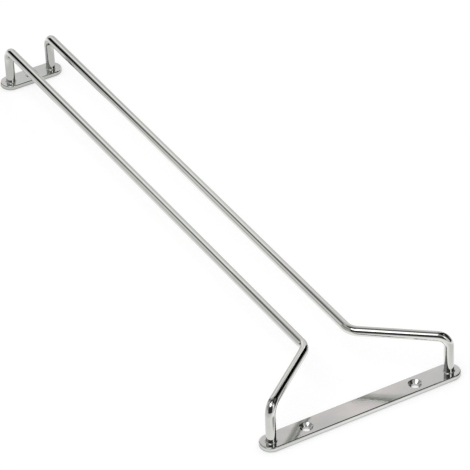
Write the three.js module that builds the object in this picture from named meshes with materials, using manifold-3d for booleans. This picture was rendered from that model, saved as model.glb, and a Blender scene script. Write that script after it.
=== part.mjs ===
// Hanging wine glass rack, in millimetres, +Z up.
// Two bent steel rods stand on two flat plates that screw under a shelf. The bases of upturned glasses slide
// in at the flared end, -Y, and rest on the two rails with their stems hanging in the slot between them.
// It is modelled as it lies on a bench: the plates' mounting faces are on z = 0 and the rods stand above.

import * as THREE from 'three';
import { mergeVertices } from 'three/addons/utils/BufferGeometryUtils.js';
import Module from 'manifold-3d';

const wasm = await Module();
wasm.setup();

// Rods
const ROD_DIAMETER = 5;
const FRONT_POST_SPACING = 113.5; // centre to centre, wide enough for a glass base
const RAIL_SPACING = 28; // centre to centre, a stem runs between the rails
const POST_TO_POST = 392.5; // front post to rear post along the rack
const FLARE_LENGTH = 34; // front posts to the start of the straight rails, along the rack
const RAIL_HEIGHT = 23.5; // plate face to rod centre
const POST_BEND_INSIDE = 3.1; // inside radius of the square bends on top of the posts
const FLARE_BEND_INSIDE = 7; // inside radius where the flared arm meets the rail

// Plates, both cut from one flat bar
const PLATE_WIDTH = 13.5;
const PLATE_THICKNESS = 3;
const PLATE_EDGE_RADIUS = 0.8;

// Countersunk screw holes
const SCREW_HOLE_DIAMETER = 4.4;
const COUNTERSINK_DIAMETER = 7.8;
const SCREW_INSET = 22; // front posts to the front screw holes

// Foot of each post: a shoulder stands on the plate and a tenon goes through it to a flared head
const SHOULDER_WIDTH = 0.7;
const HEAD_FLARE = 1.1;
const HEAD_DEPTH_SHARE = 0.44; // of the plate's thickness
const FOOT_CLEARANCE = 0.3;

// Weld fillet round each post
const WELD_LEG = 1.4;
const WELD_TOE = 0.2;

// A cutter runs this far past the face that it cuts
const OVERRUN = 1;

// Facets
const ROD_SIDES = 24;
const POST_BEND_STEPS = 10;
const FLARE_BEND_STEPS = 8;
const HOLE_SIDES = 32;
const END_SEGMENTS = 14;
const EDGE_SEGMENTS = 4;
const WELD_STEPS = 5;

const rodRadius = ROD_DIAMETER / 2;
const tenonRadius = rodRadius - SHOULDER_WIDTH;
const headRadius = tenonRadius + HEAD_FLARE;
const headDepth = PLATE_THICKNESS * HEAD_DEPTH_SHARE;
const railLevel = PLATE_THICKNESS + RAIL_HEIGHT;
const frontY = -POST_TO_POST / 2;
const rearY = POST_TO_POST / 2;
const frontPostX = FRONT_POST_SPACING / 2;
const railX = RAIL_SPACING / 2;

const chrome = new THREE.Color(0xc9cacc);

function steel() {
  return new THREE.MeshStandardMaterial({ color: chrome, roughness: 0.08, metalness: 1 });
}

// Closed solids for cutting and back again
function toSolid(geometry) {
  const bare = geometry.clone();
  bare.deleteAttribute('normal');
  bare.deleteAttribute('uv');
  const merged = mergeVertices(bare);
  const corners = merged.index.array;
  const triVerts = [];
  for (let i = 0; i < corners.length; i += 3) {
    const [a, b, c] = corners.slice(i, i + 3);
    if (a !== b && b !== c && c !== a) triVerts.push(a, b, c);
  }
  const vertProperties = new Float32Array(merged.attributes.position.array);
  return new wasm.Manifold(new wasm.Mesh({ numProp: 3, vertProperties, triVerts: new Uint32Array(triVerts) }));
}

function toGeometry(solid) {
  const { vertProperties, triVerts } = solid.getMesh();
  const geometry = new THREE.BufferGeometry();
  geometry.setAttribute('position', new THREE.BufferAttribute(new Float32Array(vertProperties), 3));
  geometry.setIndex(new THREE.BufferAttribute(new Uint32Array(triVerts), 1));
  geometry.computeVertexNormals();
  return geometry;
}

// A profile of [radius, height] points turned round the Z axis
function turned(profile, sides) {
  const geometry = new THREE.LatheGeometry(profile.map(([r, z]) => new THREE.Vector2(r, z)), sides);
  return geometry.rotateX(Math.PI / 2);
}

// Plates: a flat bar with full-round ends, its edges eased, drilled for screws and for the posts' feet
function barBlank(length) {
  const end = PLATE_WIDTH / 2;
  const half = length / 2 - end;
  const outline = new THREE.Shape();
  outline.moveTo(-half, -end);
  outline.lineTo(half, -end);
  outline.absarc(half, 0, end, -Math.PI / 2, Math.PI / 2, false);
  outline.lineTo(-half, end);
  outline.absarc(-half, 0, end, Math.PI / 2, (3 * Math.PI) / 2, false);
  const easing = Math.min(PLATE_EDGE_RADIUS, PLATE_THICKNESS / 2);
  const blank = new THREE.ExtrudeGeometry(outline, {
    depth: PLATE_THICKNESS - 2 * easing,
    curveSegments: END_SEGMENTS,
    bevelEnabled: true,
    bevelThickness: easing,
    bevelSize: easing,
    bevelOffset: -easing,
    bevelSegments: EDGE_SEGMENTS,
  });
  return blank.translate(0, 0, easing);
}

function screwHole() {
  const hole = SCREW_HOLE_DIAMETER / 2;
  const mouth = COUNTERSINK_DIAMETER / 2;
  const top = PLATE_THICKNESS;
  return turned([
    [0, -OVERRUN],
    [hole, -OVERRUN],
    [hole, top - (mouth - hole)],
    [mouth, top],
    [mouth + OVERRUN, top + OVERRUN],
    [0, top + OVERRUN],
  ], HOLE_SIDES);
}

function tenonHole() {
  const bore = tenonRadius + FOOT_CLEARANCE;
  const mouth = headRadius + FOOT_CLEARANCE;
  const flarePastFace = OVERRUN * HEAD_FLARE / headDepth;
  return turned([
    [0, -OVERRUN],
    [mouth + flarePastFace, -OVERRUN],
    [mouth, 0],
    [bore, headDepth],
    [bore, PLATE_THICKNESS + OVERRUN],
    [0, PLATE_THICKNESS + OVERRUN],
  ], HOLE_SIDES);
}

function drilledPlate(postSpacing, screwPlaces) {
  let plate = toSolid(barBlank(postSpacing + PLATE_WIDTH));
  for (const x of screwPlaces) {
    plate = plate.subtract(toSolid(screwHole().translate(x, 0, 0)));
  }
  for (const side of [-1, 1]) {
    plate = plate.subtract(toSolid(tenonHole().translate(side * postSpacing / 2, 0, 0)));
  }
  return toGeometry(plate);
}

// Rods: a round section carried along straight runs and true bends, with a turned foot at each end

// Stations along a line of corners: each bend is an arc that is tangent to the runs on both sides of it
function bentLine(corners, bends) {
  const stations = [];
  for (let i = 1; i < corners.length - 1; i += 1) {
    const { radius, steps } = bends[i - 1];
    const into = corners[i].clone().sub(corners[i - 1]).normalize();
    const out = corners[i + 1].clone().sub(corners[i]).normalize();
    const turn = into.angleTo(out);
    const start = corners[i].clone().addScaledVector(into, -radius * Math.tan(turn / 2));
    const inward = out.clone().addScaledVector(into, -Math.cos(turn)).normalize();
    for (let step = 0; step <= steps; step += 1) {
      const angle = (turn * step) / steps;
      const tangent = into.clone().multiplyScalar(Math.cos(angle)).addScaledVector(inward, Math.sin(angle));
      const point = start.clone()
        .addScaledVector(into, radius * Math.sin(angle))
        .addScaledVector(inward, radius * (1 - Math.cos(angle)));
      stations.push({ point, tangent, radius: rodRadius });
    }
  }
  return stations;
}

// The foot from its mounting face up: flared head, tenon and shoulder
function foot(x, y) {
  const levels = [
    [0, headRadius],
    [headDepth, tenonRadius],
    [PLATE_THICKNESS, tenonRadius],
    [PLATE_THICKNESS, rodRadius],
  ];
  return levels.map(([z, radius]) => ({
    point: new THREE.Vector3(x, y, z),
    tangent: new THREE.Vector3(0, 0, 1),
    radius,
  }));
}

// One closed skin over rings of points, one ring square to the line at each station
function sweep(stations, startNormal) {
  const positions = [];
  const faces = [];
  const normal = startNormal.clone();
  for (const { point, tangent, radius } of stations) {
    normal.addScaledVector(tangent, -normal.dot(tangent)).normalize();
    const binormal = tangent.clone().cross(normal);
    for (let side = 0; side < ROD_SIDES; side += 1) {
      const angle = (2 * Math.PI * side) / ROD_SIDES;
      const rim = point.clone()
        .addScaledVector(normal, radius * Math.cos(angle))
        .addScaledVector(binormal, radius * Math.sin(angle));
      positions.push(rim.x, rim.y, rim.z);
    }
  }
  const lastRing = (stations.length - 1) * ROD_SIDES;
  for (let ring = 0; ring < lastRing; ring += ROD_SIDES) {
    for (let side = 0; side < ROD_SIDES; side += 1) {
      const next = (side + 1) % ROD_SIDES;
      const [a, b] = [ring + side, ring + next];
      faces.push(a, b, b + ROD_SIDES, a, b + ROD_SIDES, a + ROD_SIDES);
    }
  }
  for (let side = 1; side < ROD_SIDES - 1; side += 1) {
    faces.push(0, side + 1, side);
    faces.push(lastRing, lastRing + side, lastRing + side + 1);
  }
  const geometry = new THREE.BufferGeometry();
  geometry.setAttribute('position', new THREE.Float32BufferAttribute(positions, 3));
  geometry.setIndex(faces);
  geometry.computeVertexNormals();
  return geometry;
}

function rod(side) {
  const post = { radius: rodRadius + POST_BEND_INSIDE, steps: POST_BEND_STEPS };
  const flare = { radius: rodRadius + FLARE_BEND_INSIDE, steps: FLARE_BEND_STEPS };
  const corners = [
    new THREE.Vector3(side * frontPostX, frontY, PLATE_THICKNESS),
    new THREE.Vector3(side * frontPostX, frontY, railLevel),
    new THREE.Vector3(side * railX, frontY + FLARE_LENGTH, railLevel),
    new THREE.Vector3(side * railX, rearY, railLevel),
    new THREE.Vector3(side * railX, rearY, PLATE_THICKNESS),
  ];
  const rearFoot = foot(side * railX, rearY).reverse();
  for (const station of rearFoot) station.tangent.negate();
  const stations = [
    ...foot(side * frontPostX, frontY),
    ...bentLine(corners, [post, flare, post]),
    ...rearFoot,
  ];
  return sweep(stations, new THREE.Vector3(1, 0, 0));
}

// Welds: a hollow fillet of weld metal in the corner between a post and its plate
function weldFillet() {
  const bore = rodRadius + FOOT_CLEARANCE;
  const toe = Math.min(WELD_TOE, WELD_LEG / 2);
  const hollow = WELD_LEG - toe;
  const profile = [[bore, 0], [bore + WELD_LEG, 0]];
  for (let step = 0; step <= WELD_STEPS; step += 1) {
    const angle = (Math.PI / 2) * (step / WELD_STEPS);
    profile.push([
      bore + toe + hollow * (1 - Math.sin(angle)),
      toe + hollow * (1 - Math.cos(angle)),
    ]);
  }
  profile.push([bore, WELD_LEG], [bore, 0]);
  return turned(profile, ROD_SIDES);
}

const rack = new THREE.Group();

function add(name, geometry, x, y, z) {
  const mesh = new THREE.Mesh(geometry, steel());
  mesh.name = name;
  mesh.position.set(x, y, z);
  rack.add(mesh);
}

const screwX = frontPostX - SCREW_INSET;
add('front_plate', drilledPlate(FRONT_POST_SPACING, [-screwX, screwX]), 0, frontY, 0);
add('rear_plate', drilledPlate(RAIL_SPACING, [0]), 0, rearY, 0);

for (const [hand, side] of [['left', -1], ['right', 1]]) {
  add(`${hand}_rod`, rod(side), 0, 0, 0);
  add(`front_${hand}_weld`, weldFillet(), side * frontPostX, frontY, PLATE_THICKNESS);
  add(`rear_${hand}_weld`, weldFillet(), side * railX, rearY, PLATE_THICKNESS);
}

export default rack;
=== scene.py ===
import math

import bpy
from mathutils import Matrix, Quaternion, Vector


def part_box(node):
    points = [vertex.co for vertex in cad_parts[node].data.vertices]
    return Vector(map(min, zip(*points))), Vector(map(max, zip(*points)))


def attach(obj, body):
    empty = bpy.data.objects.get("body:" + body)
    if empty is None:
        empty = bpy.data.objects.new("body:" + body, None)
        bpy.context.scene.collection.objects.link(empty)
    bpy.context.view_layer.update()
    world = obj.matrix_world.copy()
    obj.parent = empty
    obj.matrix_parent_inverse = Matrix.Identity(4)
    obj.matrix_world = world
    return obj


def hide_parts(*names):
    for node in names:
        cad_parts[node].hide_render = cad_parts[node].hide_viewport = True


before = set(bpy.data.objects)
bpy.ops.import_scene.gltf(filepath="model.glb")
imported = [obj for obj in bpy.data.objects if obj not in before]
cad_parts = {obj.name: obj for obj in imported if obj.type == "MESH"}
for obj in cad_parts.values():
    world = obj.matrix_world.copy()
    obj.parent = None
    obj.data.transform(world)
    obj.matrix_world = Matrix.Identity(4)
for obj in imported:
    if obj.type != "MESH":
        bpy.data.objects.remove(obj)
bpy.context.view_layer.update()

# Camera: a long lens looks down the rack from its flared end and a little to the left,
# rolled slightly, as the photograph was taken. A program fitted its values to the photograph's lines.
lens_mm = 254.0
sensor_mm = 36.0
aim = Vector((0.00575, -0.05119, 0.0265))
distance = 1.893
azimuth = math.radians(-28.64)
elevation = math.radians(35.79)
roll = math.radians(-2.43)
nearest_seen, farthest_seen = 0.05, 50.0


def in_scene(name, data):
    made = bpy.data.objects.new(name, data)
    bpy.context.scene.collection.objects.link(made)
    return made


back = Vector((
    math.sin(azimuth) * math.cos(elevation),
    -math.cos(azimuth) * math.cos(elevation),
    math.sin(elevation),
))
camera_data = bpy.data.cameras.new("camera")
camera_data.lens = lens_mm
camera_data.sensor_width = sensor_mm
camera_data.clip_start = nearest_seen
camera_data.clip_end = farthest_seen
camera = in_scene("camera", camera_data)
camera.rotation_mode = "QUATERNION"
camera.location = aim + back * distance
camera.rotation_quaternion = (-back).to_track_quat("-Z", "Y") @ Quaternion((0, 0, 1), roll)
bpy.context.scene.camera = camera
bpy.context.scene.view_settings.view_transform = "Standard"

# Table: a white top under the rack, nearly white to the eye with a faint shadow. What polished metal
# sees of it is painted light and shade: a painted pool of light, greyer at the left and far off, painted
# shadows of the rack in three soft patches and painted contact shade close under the bars. By way of a
# second piece of metal it shows painted shade, dimmer still, most of all between the front ends of the
# rails.
table_size = 8.0
table_drop = 0.0002
table_white = 0.5
table_glow = 0.61
table_middle = (0.0, 0.0, 0.0)
# Painted pool of light on the table, as metal sees it: greyer at the left, brighter to the right, greyer
# far off.
lit_left_level, lit_right_level = 0.72, 1.12
lit_left_x, lit_right_x = -0.12, -0.02
far_level = 0.68
lit_reach, far_reach = 0.25, 0.9
# Painted shadows of the rack on the table, as metal sees it: round the rear posts, at the left front foot
# and at the front right.
painted_shadow_patches = (
    {"middle": (0.0, 0.195, 0.0), "level": 0.70, "reach": 0.035, "end": 0.055},
    {"middle": (-0.041, -0.221, 0.0), "level": 0.40, "reach": 0.006, "end": 0.016},
    {"middle": (0.08, -0.25, 0.0), "level": 0.80, "reach": 0.03, "end": 0.07},
)
# Painted contact shade: what metal sees of the table darkens within this reach of the metal.
contact_shade_reach = 0.0025
# Painted shade seen by way of a second piece of metal: the table is dimmer, most of all between the front
# ends of the rails.
second_look_middle = (-0.012, -0.155, 0.0)
second_look_level, second_look_far_level = 0.42, 0.80
second_look_reach, second_look_far_reach = 0.025, 0.038
square_corners = ((-1, -1), (1, -1), (1, 1), (-1, 1))
half_table = table_size / 2


def nodes_of(owner):
    owner.use_nodes = True
    owner.node_tree.nodes.clear()
    return owner.node_tree


def link(tree, source, target):
    tree.links.new(source, target)


def feed(tree, value, target):
    """Sets a socket to a plain number, or links another socket to it."""
    if isinstance(value, (int, float)):
        target.default_value = value
    else:
        link(tree, value, target)


def maths(tree, operation, *values):
    made = tree.nodes.new("ShaderNodeMath")
    made.operation = operation
    for slot, value in enumerate(values):
        feed(tree, value, made.inputs[slot])
    return made.outputs[0]


def ranged(tree, value, start, end, level_start, level_end, smooth=False):
    """A value eased from one level to another between two readings, and held outside them."""
    made = tree.nodes.new("ShaderNodeMapRange")
    made.interpolation_type = "SMOOTHSTEP" if smooth else "LINEAR"
    limits = {"From Min": start, "From Max": end, "To Min": level_start, "To Max": level_end}
    for label, amount in limits.items():
        feed(tree, amount, made.inputs[label])
    link(tree, value, made.inputs["Value"])
    return made.outputs["Result"]


def distance_from(tree, place, spot):
    away = tree.nodes.new("ShaderNodeVectorMath")
    away.operation = "DISTANCE"
    away.inputs[1].default_value = spot
    link(tree, place, away.inputs[0])
    return away.outputs["Value"]


def shaded(tree, level, share, shade_level):
    """A level that gives way to the shade's own level where the share is 1."""
    mix = tree.nodes.new("ShaderNodeMix")
    mix.data_type = "FLOAT"
    mix.inputs["B"].default_value = shade_level
    link(tree, share, mix.inputs["Factor"])
    link(tree, level, mix.inputs["A"])
    return mix.outputs["Result"]


table_mesh = bpy.data.meshes.new("table")
table_mesh.from_pydata(
    [(x * half_table, y * half_table, -table_drop) for x, y in square_corners], [], [(0, 1, 2, 3)],
)
in_scene("table", table_mesh)

table_paint = bpy.data.materials.new("white_table")
tree = nodes_of(table_paint)
paths = tree.nodes.new("ShaderNodeLightPath")
place = tree.nodes.new("ShaderNodeTexCoord").outputs["Object"]
sides = tree.nodes.new("ShaderNodeSeparateXYZ")
link(tree, place, sides.inputs["Vector"])
# Painted pool of light: brighter from the left to the right, then greyer far off.
level = ranged(tree, sides.outputs["X"], lit_left_x, lit_right_x, lit_left_level, lit_right_level)
far_off = ranged(tree, distance_from(tree, place, table_middle), lit_reach, far_reach, 0.0, 1.0)
level = shaded(tree, level, far_off, far_level)
# Painted shadows of the rack, one soft patch at a time.
for patch in painted_shadow_patches:
    away = distance_from(tree, place, patch["middle"])
    inside = ranged(tree, away, patch["reach"], patch["end"], 1.0, 0.0, smooth=True)
    level = shaded(tree, level, inside, patch["level"])
# Painted contact shade close under the bars and feet, as metal sees the table.
painted_contact_shade = tree.nodes.new("ShaderNodeAmbientOcclusion")
painted_contact_shade.inputs["Distance"].default_value = contact_shade_reach
level = maths(tree, "MULTIPLY", level, painted_contact_shade.outputs["AO"])
# Painted shade for what metal sees of the table by way of a second piece of metal.
second_level = ranged(
    tree, distance_from(tree, place, second_look_middle),
    second_look_reach, second_look_far_reach, second_look_level, second_look_far_level,
)
second_look = ranged(tree, paths.outputs["Glossy Depth"], 1.0, 2.0, 1.0, second_level)
reflected = tree.nodes.new("ShaderNodeEmission")
link(tree, maths(tree, "MULTIPLY", level, second_look), reflected.inputs["Strength"])
paper = tree.nodes.new("ShaderNodeBsdfDiffuse")
paper.inputs["Color"].default_value = (table_white, table_white, table_white, 1)
glow = tree.nodes.new("ShaderNodeEmission")
glow.inputs["Strength"].default_value = table_glow
seen = tree.nodes.new("ShaderNodeAddShader")
link(tree, paper.outputs[0], seen.inputs[0])
link(tree, glow.outputs[0], seen.inputs[1])
choose = tree.nodes.new("ShaderNodeMixShader")
surface = tree.nodes.new("ShaderNodeOutputMaterial")
link(tree, paths.outputs["Is Camera Ray"], choose.inputs["Fac"])
link(tree, reflected.outputs[0], choose.inputs[1])
link(tree, seen.outputs[0], choose.inputs[2])
link(tree, choose.outputs[0], surface.inputs["Surface"])
table_mesh.materials.append(table_paint)

# Tent: white cloth all round and over the table, brightest about 30 degrees up and open overhead. It
# lights the rack and the table, and the camera sees plain white there. Each level is a rise, where 1 is
# straight up, and its grey. A program fitted the greys, so that the chrome looks as in the photograph.
cloth_levels = (
    (0.0, 0.50), (0.15, 0.75), (0.30, 0.72), (0.50, 0.91), (0.70, 0.62), (0.85, 0.50), (1.0, 0.04),
)

world = bpy.data.worlds.new("tent")
bpy.context.scene.world = world
tree = nodes_of(world)
paths = tree.nodes.new("ShaderNodeLightPath")
way = tree.nodes.new("ShaderNodeTexCoord")
parts = tree.nodes.new("ShaderNodeSeparateXYZ")
tent = tree.nodes.new("ShaderNodeValToRGB")
while len(tent.color_ramp.elements) < len(cloth_levels):
    tent.color_ramp.elements.new(0.5)
for stop, (rise, grey) in zip(tent.color_ramp.elements, cloth_levels):
    stop.position = rise
    stop.color = (grey, grey, grey, 1)
inside = tree.nodes.new("ShaderNodeBackground")
outside = tree.nodes.new("ShaderNodeBackground")
outside.inputs["Color"].default_value = (1, 1, 1, 1)
choose = tree.nodes.new("ShaderNodeMixShader")
surface = tree.nodes.new("ShaderNodeOutputWorld")
link(tree, way.outputs["Generated"], parts.inputs["Vector"])
link(tree, parts.outputs["Z"], tent.inputs["Fac"])
link(tree, tent.outputs["Color"], inside.inputs["Color"])
link(tree, paths.outputs["Is Camera Ray"], choose.inputs["Fac"])
link(tree, inside.outputs[0], choose.inputs[1])
link(tree, outside.outputs[0], choose.inputs[2])
link(tree, choose.outputs[0], surface.inputs["Surface"])

# Lamps: a broad key lamp at the front left and a weaker fill lamp at the rear right, for the table and
# its faint shadow. Both face the middle of the table. Metal sees the cards instead of them.
lamp_size = 1.2
lamp_reach = 1.6


def around(azimuth_deg, elevation_deg, reach):
    """A point round the rack: azimuth 0 is behind it, +Y, and 90 is on its right, +X."""
    a, e = math.radians(azimuth_deg), math.radians(elevation_deg)
    return Vector((math.sin(a) * math.cos(e), math.cos(a) * math.cos(e), math.sin(e))) * reach


def lamp(name, place, watts):
    data = bpy.data.lights.new(name, "AREA")
    data.shape = "SQUARE"
    data.size = lamp_size
    data.energy = watts
    made = in_scene(name, data)
    made.location = place
    made.rotation_mode = "QUATERNION"
    made.rotation_quaternion = (-place).to_track_quat("-Z", "Y")
    made.visible_glossy = False


lamp("key_lamp", around(azimuth_deg=-120, elevation_deg=60, reach=lamp_reach), watts=6.0)
lamp("fill_lamp", around(azimuth_deg=60, elevation_deg=55, reach=lamp_reach), watts=3.0)

# Cards: lit, grey and black boards round the table, and the openings between them, that only polished
# metal sees. They draw the dark and bright lines along the chrome. All face the middle of the table.
# The same program fitted the numbers of all but the last two. They are rounded, with three levels changed.


def faded_edges(tree, feather):
    """1 inside a card and 0 at its edges. Feather is the share of each side over which it fades."""
    sheet = tree.nodes.new("ShaderNodeUVMap")
    sheet.uv_map = "card"
    sides = tree.nodes.new("ShaderNodeSeparateXYZ")
    link(tree, sheet.outputs["UV"], sides.inputs["Vector"])
    fades = []
    for side in ("X", "Y"):
        off_middle = maths(tree, "ABSOLUTE", maths(tree, "SUBTRACT", sides.outputs[side], 0.5))
        fades.append(ranged(tree, off_middle, 0.5 - feather, 0.5, 1.0, 0.0, smooth=True))
    return maths(tree, "MULTIPLY", *fades)


def card(name, place, size, level, feather, tint=(1.0, 1.0, 1.0)):
    """A board of a width and height in metres. Level is its brightness, where 1 is white."""
    place = Vector(place)
    turn = (-place).to_track_quat("Z", "Y")
    width, height = size
    mesh = bpy.data.meshes.new(name)
    corners = [Vector((x * width / 2, y * height / 2, 0)) for x, y in square_corners]
    mesh.from_pydata([place + turn @ corner for corner in corners], [], [(0, 1, 2, 3)])
    layer = mesh.uv_layers.new(name="card")
    for loop, (x, y) in zip(layer.data, square_corners):
        loop.uv = ((x + 1) / 2, (y + 1) / 2)
    made = in_scene(name, mesh)
    made.visible_camera = False
    made.visible_diffuse = False
    made.visible_shadow = False
    made.visible_transmission = False
    paint = bpy.data.materials.new(name)
    tree = nodes_of(paint)
    glow = tree.nodes.new("ShaderNodeEmission")
    glow.inputs["Color"].default_value = (*tint, 1)
    glow.inputs["Strength"].default_value = level
    clear = tree.nodes.new("ShaderNodeBsdfTransparent")
    blend = tree.nodes.new("ShaderNodeMixShader")
    surface = tree.nodes.new("ShaderNodeOutputMaterial")
    link(tree, faded_edges(tree, feather), blend.inputs["Fac"])
    link(tree, clear.outputs[0], blend.inputs[1])
    link(tree, glow.outputs[0], blend.inputs[2])
    link(tree, blend.outputs[0], surface.inputs["Surface"])
    mesh.materials.append(paint)


card("camera_opening", (-0.41, -0.60, 0.33), (1.18, 0.59), level=0.04, feather=0.06)
card("front_softbox", (-0.67, -0.42, 1.01), (0.69, 0.67), level=2.6, feather=0.02)
card("right_front_black_card", (0.72, -0.54, 0.37), (0.79, 0.91), level=0.04, feather=0.02)
card("right_black_card", (0.66, -0.01, 0.42), (0.47, 0.68), level=0.0, feather=0.09)
card("rear_left_black_card", (-0.27, 0.65, 0.24), (0.27, 0.44), level=0.0, feather=0.19)
card("rear_left_high_card", (-0.42, 0.87, 0.94), (0.74, 0.59), level=0.17, feather=0.18)
card("left_grey_card", (-0.84, 0.08, 0.53), (1.29, 0.63), level=0.33, feather=0.03)
card("right_strip_lamp", (0.78, 0.26, 0.83), (0.75, 0.22), level=1.7, feather=0.26)
card("front_strip_lamp", (0.21, -1.21, 0.83), (0.31, 0.50), level=2.2, feather=0.23)
card("right_roof_opening", (0.50, -0.15, 1.09), (1.52, 0.43), level=0.0, feather=0.04)
card("rear_roof_opening", (-0.32, 0.21, 1.10), (0.57, 0.52), level=0.04, feather=0.15)
card("rear_strip_lamp", (0.13, 0.71, 0.65), (0.48, 0.31), level=1.06, feather=0.05)
card("roof_lamp", (-0.25, -0.32, 1.49), (0.49, 0.37), level=1.8, feather=0.25)
card("rosy_cloth", (0.40, 0.52, 0.585), (0.26, 0.30), level=0.99, feather=0.45, tint=(1.0, 0.90, 0.925))
card("rear_grey_cloth", (0.38, 0.72, 0.36), (0.34, 0.26), level=0.56, feather=0.40)

# Polished chrome: nickel and chrome plate over steel that was buffed before plating. It shows a slow
# ripple from the buffing, fine lines from the polishing and a faint cloudy haze. Each finish has its own
# amount of them.


def new_group(name, inputs, outputs):
    group = bpy.data.node_groups.new(name, "ShaderNodeTree")
    for kind, label in inputs:
        group.interface.new_socket(label, in_out="INPUT", socket_type=kind)
    for kind, label in outputs:
        group.interface.new_socket(label, in_out="OUTPUT", socket_type=kind)
    return group, group.nodes.new("NodeGroupInput"), group.nodes.new("NodeGroupOutput")


def noise(tree, vector, scale, detail):
    made = tree.nodes.new("ShaderNodeTexNoise")
    made.inputs["Detail"].default_value = detail
    link(tree, vector, made.inputs["Vector"])
    feed(tree, scale, made.inputs["Scale"])
    return made.outputs["Fac"]


# Buffing ripple: the height, in metres, of the slow waves that a soft wheel leaves. Tighter waves lie on
# the broad ones
tight_wave_ratio = 3.1
tight_wave_share = 0.22

buffing_ripple, ins, outs = new_group(
    "buffing_ripple",
    [
        ("NodeSocketVector", "Place"), ("NodeSocketVector", "Start"),
        ("NodeSocketFloat", "Waves per Metre"), ("NodeSocketFloat", "Height"),
    ],
    [("NodeSocketFloat", "Height")],
)
begun = buffing_ripple.nodes.new("ShaderNodeVectorMath")
begun.operation = "ADD"
link(buffing_ripple, ins.outputs["Place"], begun.inputs[0])
link(buffing_ripple, ins.outputs["Start"], begun.inputs[1])
tight_waves = maths(buffing_ripple, "MULTIPLY", ins.outputs["Waves per Metre"], tight_wave_ratio)
broad = noise(buffing_ripple, begun.outputs["Vector"], ins.outputs["Waves per Metre"], detail=1.0)
tight = noise(buffing_ripple, begun.outputs["Vector"], tight_waves, detail=0.0)
mixed = maths(buffing_ripple, "MULTIPLY_ADD", tight, tight_wave_share, broad)
waved = maths(buffing_ripple, "MULTIPLY", mixed, ins.outputs["Height"])
link(buffing_ripple, waved, outs.inputs["Height"])

# Polishing lines: a mask of fine streaks. Stretch is how many lie in a metre along each axis, and they
# run along the axis with the fewest
polishing_lines, ins, outs = new_group(
    "polishing_lines",
    [("NodeSocketVector", "Place"), ("NodeSocketVector", "Stretch"), ("NodeSocketFloat", "Contrast")],
    [("NodeSocketFloat", "Lines")],
)
drawn = polishing_lines.nodes.new("ShaderNodeVectorMath")
drawn.operation = "MULTIPLY"
link(polishing_lines, ins.outputs["Place"], drawn.inputs[0])
link(polishing_lines, ins.outputs["Stretch"], drawn.inputs[1])
streaks = noise(polishing_lines, drawn.outputs["Vector"], 1.0, detail=3.0)
spread = maths(polishing_lines, "SUBTRACT", streaks, 0.5)
spread = maths(polishing_lines, "MULTIPLY_ADD", spread, ins.outputs["Contrast"], 0.5)
spread = maths(polishing_lines, "MINIMUM", maths(polishing_lines, "MAXIMUM", spread, 0.0), 1.0)
link(polishing_lines, spread, outs.inputs["Lines"])

# Haze: a mask of cloudy patches where the plate is a touch duller, with clear plate between them
haze_from, haze_to = 0.35, 0.70

plating_haze, ins, outs = new_group(
    "plating_haze",
    [("NodeSocketVector", "Place"), ("NodeSocketFloat", "Patches per Metre")],
    [("NodeSocketFloat", "Haze")],
)
clouds = noise(plating_haze, ins.outputs["Place"], ins.outputs["Patches per Metre"], detail=4.0)
hazy = ranged(plating_haze, clouds, haze_from, haze_to, 0.0, 1.0, smooth=True)
link(plating_haze, hazy, outs.inputs["Haze"])


def placed(tree, group):
    made = tree.nodes.new("ShaderNodeGroup")
    made.node_tree = group
    return made


def chrome(name, clear_tint, hazy_tint, gloss, dullness, ripple, lines, patches):
    """Gloss and dullness are roughness where the plate is clearest and haziest. Heights are in metres."""
    paint = bpy.data.materials.new(name)
    tree = nodes_of(paint)
    place = tree.nodes.new("ShaderNodeTexCoord").outputs["Object"]
    waves = placed(tree, buffing_ripple)
    link(tree, place, waves.inputs["Place"])
    waves.inputs["Start"].default_value = ripple["start"]
    waves.inputs["Waves per Metre"].default_value = ripple["waves"]
    waves.inputs["Height"].default_value = ripple["height"]
    streaks = placed(tree, polishing_lines)
    link(tree, place, streaks.inputs["Place"])
    streaks.inputs["Stretch"].default_value = lines["stretch"]
    streaks.inputs["Contrast"].default_value = lines["contrast"]
    haze = placed(tree, plating_haze)
    link(tree, place, haze.inputs["Place"])
    haze.inputs["Patches per Metre"].default_value = patches

    tint = tree.nodes.new("ShaderNodeMix")
    tint.data_type = "RGBA"
    tint.inputs["A"].default_value = clear_tint
    tint.inputs["B"].default_value = hazy_tint
    link(tree, haze.outputs["Haze"], tint.inputs["Factor"])
    dull = maths(tree, "MULTIPLY", haze.outputs["Haze"], streaks.outputs["Lines"])
    rough = ranged(tree, dull, 0.0, 1.0, gloss, dullness)
    cut = maths(tree, "MULTIPLY_ADD", streaks.outputs["Lines"], lines["depth"], waves.outputs["Height"])
    bump = tree.nodes.new("ShaderNodeBump")
    bump.inputs["Distance"].default_value = 1.0
    link(tree, cut, bump.inputs["Height"])
    metal = tree.nodes.new("ShaderNodeBsdfPrincipled")
    metal.inputs["Metallic"].default_value = 1.0
    surface = tree.nodes.new("ShaderNodeOutputMaterial")
    link(tree, tint.outputs["Result"], metal.inputs["Base Color"])
    link(tree, rough, metal.inputs["Roughness"])
    link(tree, bump.outputs["Normal"], metal.inputs["Normal"])
    link(tree, metal.outputs[0], surface.inputs["Surface"])
    return paint


# Mounting bars: two lengths of one flat steel bar with full-round ends and eased edges, drilled and
# countersunk for screws, with a seat underneath for each post's foot. Polished and chromed, and left as
# ground underneath, on the face that is screwed to the shelf. A program picked their ripple from random
# tries, so that the arms' reflections bend about as in the photograph.
bar_low, bar_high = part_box("front_plate")
bar_thickness = bar_high.z - bar_low.z
bar_half_width = (bar_high.y - bar_low.y) / 2
edge_radius = 0.0008
edge_steps = 12
end_steps = 56
hole_sides = 96
screw_hole_radius = 0.0022
countersink_radius = 0.0039
countersink_break = 0.00012
break_middle_in, break_middle_down = 0.2, 0.45
screw_inset = 0.022
tenon_radius = 0.0018
head_radius = 0.0029
head_depth = 0.00132
seat_clearance = 0.00005
cut_past = 0.001
flat_tilt = 0.9999
crease = math.radians(24)

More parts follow.
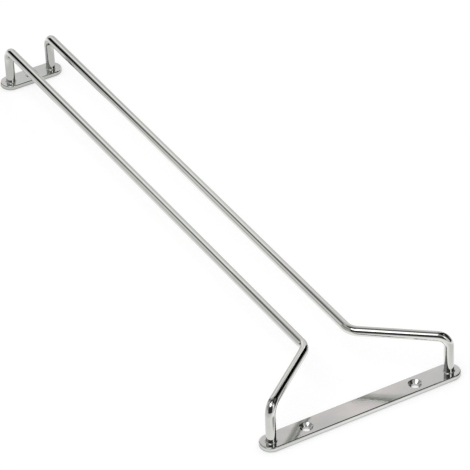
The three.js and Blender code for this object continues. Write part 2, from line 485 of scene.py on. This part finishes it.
bar_chrome = chrome(
    "chromed_bar",
    clear_tint=(0.668, 0.680, 0.655, 1), hazy_tint=(0.648, 0.656, 0.638, 1),
    gloss=0.10, dullness=0.14,
    ripple={"start": (2.19, 0.08, 0.0), "waves": 22.0, "height": 8e-4},
    lines={"stretch": (25.0, 2600.0, 2600.0), "contrast": 1.6, "depth": 6e-8},
    patches=110.0,
)
ground_chrome = chrome(
    "ground_chrome",
    clear_tint=(0.60, 0.60, 0.60, 1), hazy_tint=(0.55, 0.55, 0.55, 1),
    gloss=0.22, dullness=0.34,
    ripple={"start": (0.0, 0.0, 0.0), "waves": 140.0, "height": 4e-6},
    lines={"stretch": (60.0, 3200.0, 3200.0), "contrast": 2.2, "depth": 4e-7},
    patches=180.0,
)


def middle(node):
    low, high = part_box(node)
    return (low + high) / 2


def turned(name, profile, place):
    """A cutter turned from (radius, height) points that start and end on its axis."""
    points = []
    faces = []
    for radius, height in profile[1:-1]:
        for side in range(hole_sides):
            angle = math.tau * side / hole_sides
            points.append(place + Vector((radius * math.cos(angle), radius * math.sin(angle), height)))
    top = (len(profile) - 3) * hole_sides
    for ring in range(0, top, hole_sides):
        for side in range(hole_sides):
            a = ring + side
            b = ring + (side + 1) % hole_sides
            faces.append((a, b, b + hole_sides, a + hole_sides))
    faces.append(tuple(reversed(range(hole_sides))))
    faces.append(tuple(range(top, top + hole_sides)))
    mesh = bpy.data.meshes.new(name)
    mesh.from_pydata(points, [], faces)
    return in_scene(name, mesh)


def screw_cutter(place):
    low = -cut_past
    shank_top = bar_thickness - (countersink_radius - screw_hole_radius)
    lip = countersink_radius + countersink_break
    return turned("screw_cutter", [
        (0, low), (screw_hole_radius, low), (screw_hole_radius, shank_top),
        (countersink_radius - countersink_break, bar_thickness - countersink_break),
        (
            countersink_radius - countersink_break * break_middle_in,
            bar_thickness - countersink_break * break_middle_down,
        ),
        (lip, bar_thickness), (lip + cut_past, bar_thickness + cut_past), (0, bar_thickness + cut_past),
    ], place)


def seat_cutter(place):
    bore = tenon_radius + seat_clearance
    mouth = head_radius + seat_clearance
    flare = (mouth - bore) * cut_past / head_depth
    top = bar_thickness - cut_past / 2
    return turned("seat_cutter", [
        (0, -cut_past), (mouth + flare, -cut_past), (mouth, 0), (bore, head_depth), (bore, top), (0, top),
    ], place)


def bar_skin(name, centre, length):
    """The undrilled bar: an outline with round ends, in rings that round its lower and upper edges."""
    straight = length / 2 - bar_half_width
    outline = []
    for end in (1, -1):
        for step in range(end_steps + 1):
            angle = math.pi * (step / end_steps - 0.5) + (0 if end == 1 else math.pi)
            outline.append((end * straight, math.cos(angle), math.sin(angle)))
    levels = []
    for step in range(edge_steps + 1):
        angle = (math.pi / 2) * step / edge_steps
        levels.append((edge_radius * (1 - math.sin(angle)), edge_radius * (1 - math.cos(angle))))
    levels += [(inset, bar_thickness - height) for inset, height in reversed(levels)]
    points = []
    for inset, height in levels:
        for x, end_way, side_way in outline:
            reach = bar_half_width - inset
            points.append(centre + Vector((x + end_way * reach, side_way * reach, height)))
    count = len(outline)
    faces = [tuple(reversed(range(count)))]
    for ring in range(len(levels) - 1):
        for i in range(count):
            a = ring * count + i
            b = ring * count + (i + 1) % count
            faces.append((a, b, b + count, a + count))
    top = (len(levels) - 1) * count
    faces.append(tuple(range(top, top + count)))
    mesh = bpy.data.meshes.new(name)
    mesh.from_pydata(points, [], faces)
    return in_scene(name, mesh)


def drilled(blank, cutters):
    """The blank with every cutter's shape taken out of it. The cutters are removed."""
    for cutter in cutters:
        drill = blank.modifiers.new("drill", "BOOLEAN")
        drill.operation = "DIFFERENCE"
        drill.solver = "EXACT"
        drill.object = cutter
    bpy.context.view_layer.update()
    whole = blank.evaluated_get(bpy.context.evaluated_depsgraph_get())
    mesh = bpy.data.meshes.new_from_object(whole)
    blank.modifiers.clear()
    blank.data = mesh
    for cutter in cutters:
        bpy.data.objects.remove(cutter)
    return mesh


def mounting_bar(name, node, posts, screws):
    low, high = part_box(node)
    centre = Vector(((low.x + high.x) / 2, (low.y + high.y) / 2, low.z))
    bar = bar_skin(name, centre, high.x - low.x)
    cutters = [screw_cutter(centre + Vector((x, 0, 0))) for x in screws]
    cutters += [seat_cutter(Vector((post.x, post.y, low.z))) for post in posts]
    mesh = drilled(bar, cutters)
    mesh.name = name
    mesh.materials.clear()
    mesh.materials.append(bar_chrome)
    mesh.materials.append(ground_chrome)
    mesh.set_sharp_from_angle(angle=crease)
    for face in mesh.polygons:
        face.use_smooth = abs(face.normal.z) < flat_tilt and abs(face.normal.y) < flat_tilt
        face.material_index = 1 if face.normal.z < -flat_tilt else 0
    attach(bar, "root")
    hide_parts(node)


front_posts = [middle("front_left_weld"), middle("front_right_weld")]
rear_posts = [middle("rear_left_weld"), middle("rear_right_weld")]
front_screw = front_posts[1].x - screw_inset
mounting_bar("front_mounting_bar", "front_plate", front_posts, (-front_screw, front_screw))
mounting_bar("rear_mounting_bar", "rear_plate", rear_posts, (0,))

# Bent rods: each is one length of round steel rod, bent square for the front post, eased into the
# straight rail where the mouth flares, and bent square again for the rear post. Each post goes through
# its bar and is flared in the seat underneath. Polished along the rails and chromed.
rod_low, rod_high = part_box("left_rod")
rod_radius = front_posts[0].x - rod_low.x
rail_level = rod_high.z - rod_radius
flare_length = 0.034
post_bend_inside = 0.0031
flare_bend_inside = 0.007
post_bend_radius = rod_radius + post_bend_inside
flare_bend_radius = rod_radius + flare_bend_inside
bend_squeeze = 0.025
bend_steps = 40
bend_lead = 0.0004
foot_easing = 0.0001
head_easing_share = 0.2
rod_sides = 72

rod_chrome = chrome(
    "chromed_rod",
    clear_tint=(0.674, 0.678, 0.648, 1), hazy_tint=(0.652, 0.656, 0.632, 1),
    gloss=0.06, dullness=0.10,
    ripple={"start": (0.0, 0.0, 0.0), "waves": 70.0, "height": 8e-7},
    lines={"stretch": (2200.0, 30.0, 2200.0), "contrast": 1.6, "depth": 5e-8},
    patches=120.0,
)


def bend_rings(before, corner, after, radius):
    """Rings round one true bend, with one just before and one just after. A bend flattens a little."""
    into = (corner - before).normalized()
    out = (after - corner).normalized()
    turn = into.angle(out)
    start = corner - into * (radius * math.tan(turn / 2))
    inward = (out - into * math.cos(turn)).normalized()
    rings = [(start - into * bend_lead, into, inward, 0.0)]
    for step in range(bend_steps + 1):
        share = step / bend_steps
        angle = turn * share
        tangent = into * math.cos(angle) + inward * math.sin(angle)
        centre_way = inward * math.cos(angle) - into * math.sin(angle)
        point = start + into * (radius * math.sin(angle)) + inward * (radius * (1 - math.cos(angle)))
        rings.append((point, tangent, centre_way, bend_squeeze * math.sin(math.pi * share) ** 2))
    rings.append((rings[-1][0] + out * bend_lead, out, inward, 0.0))
    return [(*ring, rod_radius) for ring in rings]


def foot_rings(place, tangent):
    """From the mounting face up: a flared head, a tenon through the bar and a shoulder on top of it."""
    levels = [
        (0, head_radius - foot_easing), (foot_easing, head_radius - foot_easing * head_easing_share),
        (head_depth, tenon_radius), (bar_thickness, tenon_radius),
        (bar_thickness, rod_radius - foot_easing), (bar_thickness + foot_easing, rod_radius),
    ]
    sideways = Vector((1, 0, 0))
    return [(Vector((place.x, place.y, z)), tangent, sideways, 0.0, radius) for z, radius in levels]


def rod_skin(name, rings):
    """A tube through the rings, each squeezed towards its bend's centre, with a cap at both ends."""
    points = []
    normal = Vector((1, 0, 0))
    for point, tangent, centre_way, squeeze, radius in rings:
        normal = (normal - tangent * normal.dot(tangent)).normalized()
        across = tangent.cross(normal)
        for side in range(rod_sides):
            angle = math.tau * side / rod_sides
            reach = (normal * math.cos(angle) + across * math.sin(angle)) * radius
            reach -= centre_way * (reach.dot(centre_way) * squeeze)
            points.append(point + reach)
    last = (len(rings) - 1) * rod_sides
    faces = []
    for ring in range(0, last, rod_sides):
        for side in range(rod_sides):
            a = ring + side
            b = ring + (side + 1) % rod_sides
            faces.append((a, b, b + rod_sides, a + rod_sides))
    faces.append(tuple(reversed(range(rod_sides))))
    faces.append(tuple(range(last, last + rod_sides)))
    mesh = bpy.data.meshes.new(name)
    mesh.from_pydata(points, [], faces)
    return mesh


def bent_rod(name, node, front_post, rear_post):
    down = Vector((0, 0, -1))
    corners = [
        Vector((front_post.x, front_post.y, bar_thickness)),
        Vector((front_post.x, front_post.y, rail_level)),
        Vector((rear_post.x, front_post.y + flare_length, rail_level)),
        Vector((rear_post.x, rear_post.y, rail_level)),
        Vector((rear_post.x, rear_post.y, bar_thickness)),
    ]
    rings = foot_rings(front_post, -down)
    for i, radius in ((1, post_bend_radius), (2, flare_bend_radius), (3, post_bend_radius)):
        rings += bend_rings(corners[i - 1], corners[i], corners[i + 1], radius)
    rings += reversed(foot_rings(rear_post, down))
    mesh = rod_skin(name, rings)
    mesh.materials.append(rod_chrome)
    mesh.materials.append(ground_chrome)
    mesh.set_sharp_from_angle(angle=crease)
    for face in mesh.polygons:
        if abs(face.normal.z) > flat_tilt and face.center.z < head_depth / 2:
            face.use_smooth = False
            face.material_index = 1
    rod = in_scene(name, mesh)
    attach(rod, "root")
    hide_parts(node)


bent_rod("left_bent_rod", "left_rod", front_posts[0], rear_posts[0])
bent_rod("right_bent_rod", "right_rod", front_posts[1], rear_posts[1])

# Weld beads: a small hollow fillet of weld metal runs round each post in the corner that it makes with
# its bar. It is dressed and chromed with the rest, and its leg still varies a little on the way round.
weld_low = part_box("front_left_weld")[0]
bead_leg = 0.0006
bead_rise = 0.0007
weld_toe = 0.00015
weld_bite = 0.00006
broad_swell, broad_swells = 0.05, 2
fine_swell, fine_swells, fine_phase = 0.03, 5, 2.3
weld_phase_step = 1.7
weld_steps = 14
weld_sides = 96
weld_crease = math.radians(50)

weld_chrome = chrome(
    "chromed_weld",
    clear_tint=(0.648, 0.650, 0.625, 1), hazy_tint=(0.618, 0.620, 0.600, 1),
    gloss=0.05, dullness=0.13,
    ripple={"start": (0.0, 0.0, 0.0), "waves": 420.0, "height": 5e-6},
    lines={"stretch": (600.0, 600.0, 300.0), "contrast": 1.4, "depth": 2e-7},
    patches=500.0,
)


def weld_bead(name, node, phase):
    place = middle(node)
    points = []
    for side in range(weld_sides):
        angle = math.tau * side / weld_sides
        swell = 1 + broad_swell * math.sin(broad_swells * angle + phase)
        swell += fine_swell * math.sin(fine_swells * angle + fine_phase * phase)
        leg = bead_leg * swell
        rise = bead_rise * (2 - swell)
        profile = [(rod_radius - weld_bite, -weld_bite), (rod_radius + leg, -weld_bite)]
        for step in range(weld_steps + 1):
            turn = (math.pi / 2) * step / weld_steps
            out = weld_toe + (leg - weld_toe) * (1 - math.sin(turn))
            up = weld_toe + (rise - weld_toe) * (1 - math.cos(turn))
            profile.append((rod_radius + out, up))
        profile[2] = (rod_radius + leg, weld_toe / 2)
        profile.append((rod_radius - weld_bite, rise))
        for radius, height in profile:
            x = place.x + radius * math.cos(angle)
            y = place.y + radius * math.sin(angle)
            points.append(Vector((x, y, weld_low.z + height)))
    count = len(points) // weld_sides
    faces = []
    for side in range(weld_sides):
        for i in range(count):
            a = side * count + i
            b = side * count + (i + 1) % count
            c = ((side + 1) % weld_sides) * count + (i + 1) % count
            d = ((side + 1) % weld_sides) * count + i
            faces.append((a, d, c, b))
    mesh = bpy.data.meshes.new(name)
    mesh.from_pydata(points, [], faces)
    mesh.materials.append(weld_chrome)
    mesh.set_sharp_from_angle(angle=weld_crease)
    bead = in_scene(name, mesh)
    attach(bead, "root")
    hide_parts(node)


for turn, corner in enumerate(("front_left", "front_right", "rear_left", "rear_right")):
    weld_bead(f"{corner}_bead", f"{corner}_weld", weld_phase_step * turn)
